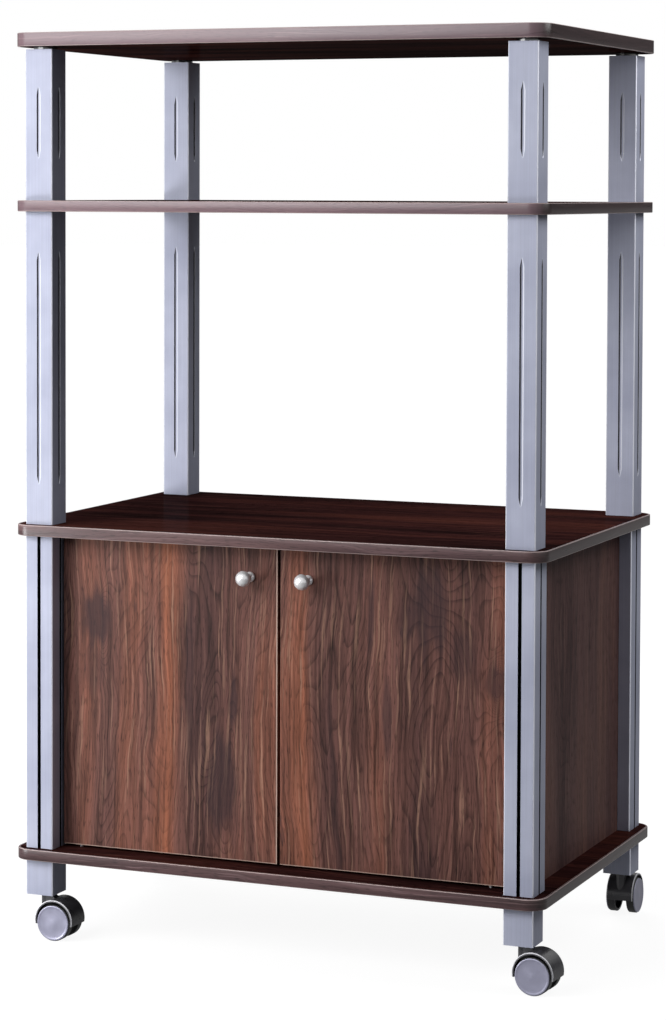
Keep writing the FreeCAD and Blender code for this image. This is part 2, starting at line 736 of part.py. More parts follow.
def pivots():
    """Pins fixed in the boards above and below each door, and bushes in the doors."""
    reach = "(Sizes.bush_length - Sizes.pivot_pin_end_gap)"
    pin_length = f"(Sizes.pivot_pin_bite + Sizes.door_gap + {reach})"
    pin = rod_template("pin_template", "Sizes.pivot_pin_radius", pin_length)
    spots = [(signed(sign, PIVOT_X), PIVOT_Y) for sign in SIDES.values()]
    lower = f"{BOTTOM_TOP} - Sizes.pivot_pin_bite"
    upper = f"{CABINET_UNDERSIDE} - Sizes.door_gap - {reach}"
    grouped("door_pivot_pins", pin, [(x, y, z) for x, y in spots for z in (lower, upper)])
    sleeve = rod_template("bush_sleeve", "Sizes.bush_radius", "Sizes.bush_length")
    bore = rod_template("bush_bore", "Sizes.pivot_pin_radius + Sizes.running_clearance",
                        "Sizes.bush_length")
    bush = doc.addObject("Part::Cut", "bush_template")
    bush.Base, bush.Tool = sleeve, bore
    doc.recompute()
    top_bush = f"{DOOR_BOTTOM} + {DOOR_HEIGHT} - Sizes.bush_length"
    for (side, _), (x, y) in zip(SIDES.items(), spots):
        grouped(f"{side}_door_bushes", bush, [(x, y, DOOR_BOTTOM), (x, y, top_bush)])


def magnetic_catch():
    """The twin magnetic catch that holds both doors, with its screw."""
    housing = new_body("catch_housing")
    sketch = new_sketch(housing, "outline")
    rectangle(sketch, "Sizes.catch_width", "Sizes.catch_depth")
    block = pad(housing, sketch, "Sizes.catch_height")
    rounded(housing, block, is_upright, "Sizes.catch_corner_radius")
    seats = new_sketch(housing, "magnet_seats", "XZ_Plane", off="Sizes.catch_depth / 2")
    for sign in SIDES.values():
        rectangle(seats, "Sizes.magnet_width", "Sizes.magnet_height",
                  across=signed(sign, MAGNET_X), up="Sizes.catch_height / 2")
    pocket(housing, seats, "Sizes.magnet_height")
    bore = new_sketch(housing, "screw_bore")
    circle(bore, "Sizes.screw_radius")
    pocket(housing, bore, upwards=True)
    place(housing, "0", CATCH_Y, f"{CABINET_UNDERSIDE} - Sizes.catch_height")

    magnet = doc.addObject("Part::Box", "magnet_template")
    magnet.setExpression("Length", "Sizes.magnet_width")
    magnet.setExpression("Width", "Sizes.magnet_height")
    magnet.setExpression("Height", "Sizes.magnet_height")
    magnet.setExpression("Placement.Base.x", "-1 * Sizes.magnet_width / 2")
    magnet.setExpression("Placement.Base.z", "-1 * Sizes.magnet_height / 2")
    doc.recompute()
    grouped("catch_magnets", magnet,
            [(signed(sign, MAGNET_X), CATCH_FACE_Y, CATCH_Z) for sign in SIDES.values()])

    length = "(Sizes.catch_height + Sizes.catch_screw_bite)"
    shank = rod_template("catch_screw_shank", "Sizes.screw_radius", length)
    head = rod_template("catch_screw_head", "Sizes.screw_head_radius",
                        "Sizes.screw_head_height")
    head.setExpression("Placement.Base.z", "-1 * Sizes.screw_head_height")
    screw = doc.addObject("Part::Fuse", "catch_screw")
    screw.Base, screw.Tool = shank, head
    place(screw, "0", CATCH_Y, f"{CABINET_UNDERSIDE} - Sizes.catch_height")
    nodes.append(screw)


# ---------------------------------------------------------------- casters


def caster_place(thing, corner, ahead="0", z="0", facing=0):
    """Places a caster piece, ahead of the swivel axis along the way it trails."""
    right, rear = CORNERS[corner]
    turn = CASTER_TURNS[corner]
    place(thing,
          f"{signed(right, COLUMN_X)} + {ahead} * cos({turn})",
          f"{signed(rear, COLUMN_Y)} + {ahead} * sin({turn})",
          z, turn + facing)


def caster_hood(corner):
    """The hood over both wheels, the web between them, and the bosses it carries."""
    body = new_body(f"caster_hood_{corner}")
    axle_x, axle_z = "Sizes.caster_trail", "Sizes.wheel_radius"

    shell = new_sketch(body, "shell", "XZ_Plane")
    circle(shell, HOOD_OUTSIDE, axle_x, HOOD_Z)
    circle(shell, HOOD_INSIDE, axle_x, HOOD_Z)
    ring = pad(body, shell, HOOD_WIDTH, symmetric=True)
    rounded(body, ring, lambda edge: is_round(edge, value(HOOD_OUTSIDE)),
            "Sizes.hood_edge_rounding")
    web = new_sketch(body, "web", "XZ_Plane")
    circle(web, f"{HOOD_OUTSIDE} - Sizes.hood_wall / 2", axle_x, HOOD_Z)
    pad(body, web, "Sizes.web_thickness", symmetric=True)
    below = new_sketch(body, "below_edge", "XZ_Plane")
    across = f"2 * {HOOD_OUTSIDE}"
    rectangle(below, f"{across} + Sizes.hood_wall", across, axle_x,
              f"{axle_z} - Sizes.hood_drop - {HOOD_OUTSIDE}")
    pocket(body, below, symmetric=True)

    neck = new_sketch(body, "neck", "XZ_Plane")
    outline(neck, [
        ("0", axle_z),
        (axle_x, axle_z),
        (axle_x, f"{HOOD_Z} + {HOOD_INSIDE}"),
        (f"{axle_x} / 2", BOSS_TOP),
        ("0", BOSS_TOP),
    ])
    pad(body, neck, "2 * Sizes.caster_boss_radius", symmetric=True)
    swivel_boss = new_sketch(body, "swivel_boss", off=axle_z)
    circle(swivel_boss, "Sizes.caster_boss_radius")
    pad(body, swivel_boss, f"{BOSS_TOP} - {axle_z}")
    axle_boss = new_sketch(body, "axle_boss", "XZ_Plane")
    circle(axle_boss, "Sizes.axle_boss_radius", axle_x, axle_z)
    pad(body, axle_boss, "Sizes.wheel_gap - 2 * Sizes.contact_gap", symmetric=True)

    stem_bore = new_sketch(body, "stem_bore", off=BOSS_TOP)
    circle(stem_bore, "Sizes.stem_radius + Sizes.running_clearance")
    pocket(body, stem_bore, "Sizes.stem_bite + Sizes.contact_gap")
    axle_bore = new_sketch(body, "axle_bore", "XZ_Plane")
    circle(axle_bore, "Sizes.axle_radius", axle_x, axle_z)
    pocket(body, axle_bore, symmetric=True)
    caster_place(body, corner)


def caster_wheel(corner, hand, facing):
    """One of a caster's two wheels: bevelled tread, raised face cap, hollow inner side."""
    body = new_body(f"caster_wheel_{corner}_{hand}")
    sketch = new_sketch(body, "outline")
    tread, bevel = "Sizes.wheel_radius", "Sizes.tread_bevel"
    cap = f"({tread} - Sizes.cap_shoulder)"
    inner = "(Sizes.wheel_gap / 2)"
    rim = f"({inner} + Sizes.wheel_width)"
    bore = "(Sizes.axle_radius + Sizes.running_clearance)"
    hub = "Sizes.wheel_hub_radius"
    rim_inside = f"({tread} - Sizes.wheel_rim)"
    recess = f"({rim} - Sizes.wheel_web)"
    bore_end = f"({rim} - Sizes.wheel_web / 2)"
    outline(sketch, [
        (bore, bore_end),
        (bore, inner),
        (hub, inner),
        (hub, recess),
        (rim_inside, recess),
        (rim_inside, inner),
        (f"{tread} - {bevel}", inner),
        (tread, f"{inner} + {bevel}"),
        (tread, f"{rim} - {bevel}"),
        (f"{tread} - {bevel}", rim),
        (cap, rim),
        (f"{cap} - Sizes.cap_bevel", f"{rim} + Sizes.cap_height"),
        ("0", f"{rim} + Sizes.cap_height"),
        ("0", bore_end),
    ])
    revolved(body, sketch)
    caster_place(body, corner, "Sizes.caster_trail", tread, facing)


def casters():
    """The four casters, each turned the way it stands."""
    reach = "(Sizes.wheel_gap + 2 * Sizes.wheel_width - 2 * Sizes.wheel_web)"
    for corner in CORNERS:
        caster_hood(corner)
        axle = new_body(f"caster_axle_{corner}")
        sketch = new_sketch(axle, "outline", "XZ_Plane")
        circle(sketch, "Sizes.axle_radius")
        pad(axle, sketch, reach, symmetric=True)
        caster_place(axle, corner, "Sizes.caster_trail", "Sizes.wheel_radius")
        for hand, facing in WHEEL_FACINGS.items():
            caster_wheel(corner, hand, facing)


def finish():
    """Checks every sub-part and writes each to its own file."""
    doc.recompute()
    for thing in doc.Objects:
        if {"Invalid", "Error"} & set(thing.State):
            raise RuntimeError(f"{thing.Label} failed: {thing.State}")
    for node in nodes:
        if node.Shape.isNull() or not node.Shape.isValid():
            raise RuntimeError(f"{node.Label} has no sound shape")
    os.makedirs("parts", exist_ok=True)
    for node in nodes:
        node.Shape.exportStep(os.path.join("parts", f"{node.Label}.step"))
        print(node.Label, len(node.Shape.Solids), round(node.Shape.Volume / 1000, 2))


boards()
columns()
column_hardware()
panels()
for side, sign in SIDES.items():
    door(side, sign)
    knob(side, sign)
    knob_screw(side, sign)
    strike_plate(side, sign)
pivots()
magnetic_catch()
casters()
finish()
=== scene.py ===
# %% [markdown]
# # A walnut and silver microwave cart
# The cart has four dark walnut laminate boards on four silver columns, a cabinet with
# two doors, and four twin-wheel casters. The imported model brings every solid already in
# its place, in metres, with the floor at z = 0 and the doors towards -Y. This script
# gives each solid its finish, adds the boards' edge bands and the discs that face the
# wheels, and sets the camera and the light. Solids are never moved here, so the looks
# always fit the real sizes.

# %% Load the cart
import json
import math

import bmesh
import bpy
from mathutils import Matrix, Vector

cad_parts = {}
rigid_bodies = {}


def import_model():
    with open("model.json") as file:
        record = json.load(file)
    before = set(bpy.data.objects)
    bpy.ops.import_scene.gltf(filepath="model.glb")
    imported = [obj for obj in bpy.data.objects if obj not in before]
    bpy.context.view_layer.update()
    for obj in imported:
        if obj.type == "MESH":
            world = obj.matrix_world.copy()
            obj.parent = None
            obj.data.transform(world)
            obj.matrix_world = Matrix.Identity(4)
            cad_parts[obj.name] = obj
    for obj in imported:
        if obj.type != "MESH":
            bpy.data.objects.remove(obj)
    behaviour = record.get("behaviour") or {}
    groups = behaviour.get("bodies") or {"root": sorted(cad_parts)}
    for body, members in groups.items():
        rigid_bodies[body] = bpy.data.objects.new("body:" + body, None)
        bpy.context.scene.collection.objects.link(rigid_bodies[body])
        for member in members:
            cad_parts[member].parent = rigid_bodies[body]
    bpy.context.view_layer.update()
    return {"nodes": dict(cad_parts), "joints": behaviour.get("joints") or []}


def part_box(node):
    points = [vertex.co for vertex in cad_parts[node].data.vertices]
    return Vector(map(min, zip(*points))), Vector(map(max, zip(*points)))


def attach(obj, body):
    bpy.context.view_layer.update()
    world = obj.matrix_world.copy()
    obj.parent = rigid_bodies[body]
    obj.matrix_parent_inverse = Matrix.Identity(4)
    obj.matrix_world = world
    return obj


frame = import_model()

nodes = frame["nodes"]

# %% [markdown]
# ## The camera
# The picture was taken from the right of the cart, a little below the top board. A long
# lens far away keeps the columns nearly parallel. The columns also stand upright in the
# picture, as they do when a camera is level and its lens is shifted down. Every other
# view keeps this camera's shift, and the whole of it would push the cart out of their
# frames, so here a smaller shift and a slight tilt down share the work. With the place,
# turn and lens fitted again, points lie about two pixels from where the picture has
# them, and five at most.

# %% Set the camera
PICTURE_HEIGHT = 1020
FOCAL_PIXELS = 2914.3
AXIS_ROW = 316.2
CAMERA_PLACE = (1.2421, -3.0201, 0.8293)
TURNED_LEFT, TILTED_DOWN, ROLLED = 22.544, 2.476, 0.193


def set_camera():
    """A camera at the photograph's place, with its lens written from picture pixels."""
    lens = bpy.data.cameras.new("view")
    lens.sensor_width = 36
    lens.lens = FOCAL_PIXELS / PICTURE_HEIGHT * lens.sensor_width
    lens.shift_y = (AXIS_ROW - PICTURE_HEIGHT / 2) / PICTURE_HEIGHT
    camera = bpy.data.objects.new("view", lens)
    turn = Matrix.Rotation(math.radians(TURNED_LEFT), 4, "Z")
    tilt = Matrix.Rotation(math.radians(90 - TILTED_DOWN), 4, "X")
    roll = Matrix.Rotation(math.radians(ROLLED), 4, "Z")
    camera.matrix_world = Matrix.Translation(CAMERA_PLACE) @ turn @ tilt @ roll
    bpy.context.scene.collection.objects.link(camera)
    bpy.context.scene.camera = camera
    return camera


camera = set_camera()
bpy.context.scene.view_settings.view_transform = "Standard"
print("lens", round(camera.data.lens, 1), "mm, shift", round(camera.data.shift_y, 3))

# %% [markdown]
# ## Small helpers for finishes
# A finish in Blender is a web of nodes that ends in one shader. Most webs need the same
# few things: a number worked out from others, a noise, a colour ramp, and a mix of two
# colours. These helpers make one node each and return its output, so a finish reads
# from top to bottom. Colours are written as they look on a screen, from 0 to 255.

# %% Node helpers
def on_screen(red, green, blue):
    """The linear colour that shows as these screen values under plain white light."""
    def straight(v):
        v /= 255
        return v / 12.92 if v <= 0.04045 else ((v + 0.055) / 1.055) ** 2.4
    return (straight(red), straight(green), straight(blue), 1)


def new_finish(name):
    """A new material with its node tree and its shader."""
    material = bpy.data.materials.new(name)
    material.use_nodes = True
    return material, material.node_tree, material.node_tree.nodes["Principled BSDF"]


def put(tree, socket, value):
    """Links an output to a socket, or sets the socket when the value is a number."""
    if isinstance(value, bpy.types.NodeSocket):
        tree.links.new(value, socket)
    else:
        socket.default_value = value


def node(tree, kind, *values, **settings):
    """One node with its settings, and its first inputs filled in order."""
    made = tree.nodes.new("ShaderNode" + kind)
    for key, value in settings.items():
        setattr(made, key, value)
    for socket, value in zip(made.inputs, values):
        put(tree, socket, value)
    return made


def calc(tree, operation, *values):
    """A number worked out from others."""
    return node(tree, "Math", *values, operation=operation).outputs[0]


def noise(tree, vector, scale, detail=2.0, roughness=0.5):
    """Soft random values from 0 to 1, mostly near the middle."""
    made = node(tree, "TexNoise")
    put(tree, made.inputs["Vector"], vector)
    put(tree, made.inputs["Scale"], scale)
    put(tree, made.inputs["Detail"], detail)
    put(tree, made.inputs["Roughness"], roughness)
    return made.outputs[0]


def ramp(tree, value, stops):
    """Colours, or greys, placed along a value from 0 to 1."""
    made = node(tree, "ValToRGB", value)
    band = made.color_ramp
    while len(band.elements) < len(stops):
        band.elements.new(1)
    for element, (place, colour) in zip(band.elements, stops):
        element.position = place
        element.color = colour if hasattr(colour, "__len__") else (colour,) * 3 + (1,)
    return made.outputs[0]


def mix(tree, amount, first, second, way="MIX"):
    """Two colours mixed, or combined in another way such as MULTIPLY."""
    made = node(tree, "Mix", data_type="RGBA", blend_type=way)
    put(tree, made.inputs[0], amount)
    put(tree, made.inputs[6], first)
    put(tree, made.inputs[7], second)
    return made.outputs[2]


def spread(tree, value, low, high, to_low=0.0, to_high=1.0):
    """A value carried from one range to another, and held at the ends."""
    return node(tree, "MapRange", value, low, high, to_low, to_high).outputs[0]


def window(tree, value, low, high, soft):
    """1 while the value is between low and high, with soft sides, and 0 elsewhere."""
    rise = spread(tree, value, low - soft, low + soft)
    fall = spread(tree, value, high - soft, high + soft, 1, 0)
    return calc(tree, "MULTIPLY", rise, fall)


def bump(tree, shader, height, depth):
    """Relief of that depth in metres, on the shader's normal."""
    made = node(tree, "Bump")
    made.inputs["Strength"].default_value = 1
    made.inputs["Distance"].default_value = depth
    put(tree, made.inputs["Height"], height)
    put(tree, shader.inputs["Normal"], made.outputs[0])


def coordinates_of(tree):
    """Where a point of the solid is, as one vector."""
    return node(tree, "TexCoord").outputs["Object"]


def place_of(tree):
    """The x, y and z of a point of the solid."""
    return list(node(tree, "SeparateXYZ", coordinates_of(tree)).outputs)


def facing_of(tree):
    """How much the surface faces along x, y and z, each from -1 to 1."""
    facing = node(tree, "TexCoord").outputs["Normal"]
    return list(node(tree, "SeparateXYZ", facing).outputs)


def at(tree, x, y, z):
    """A point from three numbers."""
    return node(tree, "CombineXYZ", x, y, z).outputs[0]


def dress(names, material):
    """Gives solids a finish, in every slot that their meshes have."""
    for name in names:
        slots = nodes[name].data.materials
        if not slots:
            slots.append(material)
        for index in range(len(slots)):
            slots[index] = material
    print(material.name, "on", len(names), "solids")


def named(*beginnings):
    """The solids whose names begin in one of these ways."""
    return sorted(n for n in nodes if n.startswith(beginnings))


# %% [markdown]
# ## Walnut figure
# Laminate is a printed sheet, so walnut on it is colour first and relief second. The
# print copies sawn walnut: broad streaks from purple brown to orange brown, growth lines
# along the grain that bend into pointed arches, and fibres, some dark, some pale. One way
# is a picture of wood, but a picture repeats and has one size. Here the growth lines are
# contour lines of a noise that is stretched four or five times along the grain. Contours
# of a stretched noise are nearly parallel, and close into arches by themselves, which is
# just what a saw cut through a trunk shows. A burl is a small hill added to the same noise, so
# the lines flow round it.

# %% The walnut web
def hill(tree, across, along, place, size):
    """1 at a place, and nearly 0 from twice its size away."""
    aside = calc(tree, "DIVIDE", calc(tree, "SUBTRACT", across, place[0]), size[0])
    off = calc(tree, "DIVIDE", calc(tree, "SUBTRACT", along, place[1]), size[1])
    far = calc(tree, "ADD", calc(tree, "MULTIPLY", aside, aside),
               calc(tree, "MULTIPLY", off, off))
    return calc(tree, "DIVIDE", 1, calc(tree, "ADD", calc(tree, "MULTIPLY", far, far), 1))


def wander(tree, across, along, seed):
    """The place across the grain, swayed as the fibres sway along it."""
    slow = calc(tree, "MULTIPLY", along, 0.3)
    sway = noise(tree, at(tree, across, slow, seed), 8, 2)
    quick = noise(tree, at(tree, across, calc(tree, "MULTIPLY", along, 0.5), seed + 1), 26, 2)
    bent = calc(tree, "MULTIPLY_ADD", calc(tree, "SUBTRACT", sway, 0.5), 0.045, across)
    return calc(tree, "MULTIPLY_ADD", calc(tree, "SUBTRACT", quick, 0.5), 0.009, bent)


def walnut_figure(tree, bent, along, seed, burls=(), lines=70.0, swing=34.0):
    """The parts of a walnut print by name, each a value from 0 to 1."""
    hills = noise(tree, at(tree, bent, calc(tree, "MULTIPLY", along, 0.22), seed + 3), 13, 1.5)
    for place, size, height in burls:
        rise = calc(tree, "MULTIPLY", hill(tree, bent, along, place, size), height)
        hills = calc(tree, "ADD", hills, rise)
    rings = calc(tree, "MULTIPLY_ADD", hills, swing, calc(tree, "MULTIPLY", bent, lines))
    rings = calc(tree, "FRACT", rings)
    streaks = noise(tree, at(tree, bent, calc(tree, "MULTIPLY", along, 0.1), seed + 7), 20, 3)
    slower = calc(tree, "MULTIPLY", along, 0.025)
    fibres = noise(tree, at(tree, bent, slower, seed), 200, 3, 0.7)
    threads = noise(tree, at(tree, bent, slower, seed + 5), 290, 2, 0.6)
    pores = noise(tree, at(tree, bent, calc(tree, "MULTIPLY", along, 0.09), seed), 900, 1)
    return {"rings": rings, "streaks": streaks, "fibres": fibres,
            "threads": threads, "pores": pores}


def walnut_colour(tree, figure, tones, pale, line_depth=0.6, fibre_depth=0.5):
    """The printed colour from the figure: tones are dark, middle and warm."""
    dark, middle, warm = tones
    colour = ramp(tree, figure["streaks"], [(0.3, dark), (0.5, middle), (0.7, warm)])
    line = ramp(tree, figure["rings"], [(0.0, 1.0), (0.6, 0.95), (0.86, 0.3), (0.93, 1.0)])
    present = spread(tree, figure["streaks"], 0.42, 0.62, line_depth, line_depth * 0.4)
    colour = mix(tree, present, colour, line, "MULTIPLY")
    grain = spread(tree, figure["fibres"], 0.3, 0.7, 1 - fibre_depth, 1 + fibre_depth * 0.6)
    colour = mix(tree, 1, colour, grain, "MULTIPLY")
    colour = mix(tree, spread(tree, figure["threads"], 0.56, 0.74, 0, 0.6), colour, pale)
    dashes = spread(tree, figure["pores"], 0.32, 0.42, 0.55, 1.0)
    return mix(tree, 1, colour, dashes, "MULTIPLY")


def walnut_relief(tree, shader, figure, depth=0.00012):
    """The pores and fibres pressed into the laminate."""
    height = calc(tree, "MULTIPLY_ADD", figure["pores"], 0.6, figure["fibres"])
    bump(tree, shader, height, depth)


# %% [markdown]
# ## The boards
# Each board is chipboard with walnut laminate on both faces. The faces are dark and nearly
# matt: seen at a low angle a glossy face would mirror the white studio, and the real ones
# stay nearly black. So the shader has no mirror part of its own, only a thin weak coat.

# %% Finish the boards
FACE_TONES = (on_screen(38, 21, 21), on_screen(60, 32, 31), on_screen(84, 46, 39))
FACE_PALE = on_screen(104, 64, 56)
BOARDS = ["top_board", "second_shelf", "cabinet_top", "bottom_board"]


def board_finish(name, seed):
    material, tree, shader = new_finish(name)
    x, y = place_of(tree)[:2]
    figure = walnut_figure(tree, wander(tree, y, x, seed), x, seed)
    put(tree, shader.inputs["Base Color"], walnut_colour(tree, figure, FACE_TONES, FACE_PALE))
    put(tree, shader.inputs["Roughness"], spread(tree, figure["fibres"], 0.3, 0.7, 0.5, 0.62))
    shader.inputs["Specular IOR Level"].default_value = 0.0
    shader.inputs["Coat Weight"].default_value = 0.015
    shader.inputs["Coat Roughness"].default_value = 0.12
    walnut_relief(tree, shader, figure)
    return material


for number, board in enumerate(BOARDS):
    dress([board], board_finish("walnut_" + board, 2.0 + 5 * number))

# %% [markdown]
# ## The edge bands
# A thin band is glued round each board's edge. It is paler and pinker than the faces, has
# a soft sheen, and its grain runs along the edge. Its two rounded long corners carry a
# painted highlight as fine light lines. The two upper boards' front bands carry a painted
# sheen that makes them palest, and the right-hand bands carry painted shade that makes
# them the darkest. A band is modelled as the strip it is: a rounded rectangle is extruded
# to the board's thickness, its long corners are bevelled, both caps are inset, and the
# inner part is taken out and closed with a wall. That leaves a ring 2.2 mm thick, of which
# the bevel takes 0.8 and the flat rim 1.4, sunk into the board except for a fifth of a
# millimetre.

# %% Make the edge bands
BAND_PROUD, BAND_OVER = 0.0002, 0.00003
BAND_CORNER, BAND_ARRIS, BAND_RIM = 0.0202, 0.0008, 0.0014


def piece_from(shape, name, body, material):
    """A finished shape made into a piece that rides on a body."""
    bmesh.ops.recalc_face_normals(shape, faces=shape.faces)
    mesh = bpy.data.meshes.new(name)
    shape.to_mesh(mesh)
    shape.free()
    mesh.materials.append(material)
    for face in mesh.polygons:
        face.use_smooth = True
    piece = bpy.data.objects.new(name, mesh)
    bpy.context.scene.collection.objects.link(piece)
    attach(piece, body)
    return piece


def band_shape(low, high):
    """The ring round a board whose box is given."""
    shape = bmesh.new()
    width, depth = high.x - low.x + 2 * BAND_PROUD, high.y - low.y + 2 * BAND_PROUD
    height = high.z - low.z + 2 * BAND_OVER
    bmesh.ops.create_grid(shape, x_segments=1, y_segments=1, size=0.5)
    bmesh.ops.scale(shape, vec=(width, depth, 1), verts=shape.verts)
    bmesh.ops.bevel(shape, geom=shape.verts[:], affect="VERTICES", offset=BAND_CORNER,
                    offset_type="OFFSET", segments=10, profile=0.5, material=-1)
    grown = bmesh.ops.extrude_face_region(shape, geom=shape.faces[:])["geom"]
    lifted = [part for part in grown if isinstance(part, bmesh.types.BMVert)]
    bmesh.ops.translate(shape, vec=(0, 0, height), verts=lifted)
    level = [e for e in shape.edges if abs(e.verts[0].co.z - e.verts[1].co.z) < 1e-7]
    bmesh.ops.bevel(shape, geom=level, affect="EDGES", offset=BAND_ARRIS,
                    offset_type="OFFSET", segments=3, profile=0.5, material=-1)
    shape.faces.ensure_lookup_table()
    caps = sorted(shape.faces, key=lambda face: face.calc_area())[-2:]
    for cap in caps:
        bmesh.ops.inset_individual(shape, faces=[cap], thickness=BAND_RIM)
    rims = list({edge for cap in caps for edge in cap.edges})
    bmesh.ops.delete(shape, geom=caps, context="FACES_ONLY")
    bmesh.ops.bridge_loops(shape, edges=rims)
    middle = Vector(((low.x + high.x) / 2, (low.y + high.y) / 2, low.z - BAND_OVER))
    bmesh.ops.translate(shape, vec=middle, verts=shape.verts)
    return shape


BAND_TONES = (on_screen(62, 42, 43), on_screen(88, 64, 66), on_screen(110, 82, 82))
BAND_PALE = on_screen(146, 118, 120)
# Colours of the painted corner highlight, the painted sheen on the upper front bands and the
# painted shade on the right-hand faces.
BAND_PAINTED_HIGHLIGHT = on_screen(206, 184, 180)
PAINTED_SHEEN_TONE = on_screen(166, 138, 150)
PAINTED_SIDE_SHADE = on_screen(30, 14, 15)


def band_finish():
    material, tree, shader = new_finish("walnut_band")
    x, y, z = place_of(tree)
    facing_x, facing_y, facing_z = facing_of(tree)
    along = calc(tree, "ADD", x, y)
    figure = walnut_figure(tree, wander(tree, z, along, 83.0), along, 83.0, lines=260, swing=20)
    colour = walnut_colour(tree, figure, BAND_TONES, BAND_PALE, 0.3, 0.35)
    # Painted sheen: the front faces of the two upper boards' bands are made paler.
    painted_sheen = calc(tree, "MULTIPLY", spread(tree, z, 0.55, 0.75, 0, 0.3),
                   spread(tree, facing_y, -0.9, -0.5, 1, 0))
    colour = mix(tree, painted_sheen, colour, PAINTED_SHEEN_TONE)
    # Painted shade: faces turned towards +x are darkened.
    colour = mix(tree, spread(tree, facing_x, 0.6, 0.95, 0, 0.75), colour, PAINTED_SIDE_SHADE)
    # Painted highlight: the rounded long corners are made pale, as fine light lines.
    painted_corner_highlight = window(tree, calc(tree, "ABSOLUTE", facing_z), 0.25, 0.93, 0.08)
    colour = mix(tree, calc(tree, "MULTIPLY", painted_corner_highlight, 0.7), colour, BAND_PAINTED_HIGHLIGHT)
    put(tree, shader.inputs["Base Color"], colour)
    put(tree, shader.inputs["Roughness"], spread(tree, figure["fibres"], 0.3, 0.7, 0.26, 0.34))
    shader.inputs["Specular IOR Level"].default_value = 0.5
    return material


band_material = band_finish()
for board in BOARDS:
    ring = piece_from(band_shape(*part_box(board)), "band_" + board, "frame",
                      band_material)
    print(ring.name, len(ring.data.polygons), "faces")

# %% [markdown]
# ## The doors
# The two doors are the show piece, with upright grain that runs from one leaf to the
# next. The left leaf has an orange streak down its middle, a burl at its upper left
# and dark flames below the knob. The right leaf starts red, turns dark purple at its upper
# right with lines that arch over, and ends in a golden strip with a knot. Noise alone
# would put such things anywhere, so a ramp along the width sets the broad tone, a few
# hills place the burls and the dark patches, and noise only makes them wander. A pale
# painted highlight runs along the foot of both leaves and up the left leaf's meeting edge.

# %% Finish the doors
DOOR_TONES = (on_screen(70, 48, 48), on_screen(116, 78, 70), on_screen(156, 95, 71))
DOOR_PALE = on_screen(182, 140, 118)
DOOR_DARK = on_screen(52, 38, 42)
DOOR_PAINTED_HIGHLIGHT = on_screen(206, 178, 164)
DOOR_REACH = 0.26
FOOT_RIM, MEETING_RIM, RIM_SOFT = 0.0008, 0.0012, 0.0006
TONES_ALONG_WIDTH = [
    (-0.26, 0.46), (-0.235, 0.55), (-0.205, 0.48), (-0.175, 0.57), (-0.150, 0.62),
    (-0.132, 0.76), (-0.116, 0.54), (-0.098, 0.43), (-0.070, 0.46), (-0.035, 0.50),
    (-0.015, 0.56), (0.010, 0.47), (0.034, 0.60), (0.060, 0.44), (0.100, 0.47),
    (0.130, 0.46), (0.165, 0.34), (0.205, 0.38), (0.240, 0.58), (0.26, 0.50),
]
DOOR_BURLS = [  # place across and up, size across and up, height beside the noise's 0 to 1
    ((-0.222, 0.350), (0.016, 0.040), 0.26),
    ((-0.078, 0.245), (0.014, 0.060), 0.22),
    ((0.040, 0.190), (0.018, 0.090), 0.20),
    ((0.252, 0.315), (0.012, 0.026), 0.34),
    ((0.170, 0.470), (0.030, 0.130), 0.22),
]
DARK_PATCHES = [  # place across and up, size across and up, how dark
    ((-0.222, 0.362), (0.016, 0.030), 0.75),
    ((-0.225, 0.300), (0.012, 0.030), 0.35),
    ((-0.066, 0.190), (0.016, 0.060), 0.70),
    ((-0.055, 0.275), (0.006, 0.030), 0.65),
    ((-0.105, 0.290), (0.005, 0.120), 0.45),
    ((0.110, 0.380), (0.004, 0.045), 0.60),
    ((0.128, 0.270), (0.004, 0.050), 0.55),
    ((0.072, 0.180), (0.004, 0.110), 0.35),
    ((0.168, 0.390), (0.022, 0.045), 0.65),
    ((0.205, 0.345), (0.016, 0.030), 0.45),
    ((0.250, 0.318), (0.020, 0.018), 0.50),
]


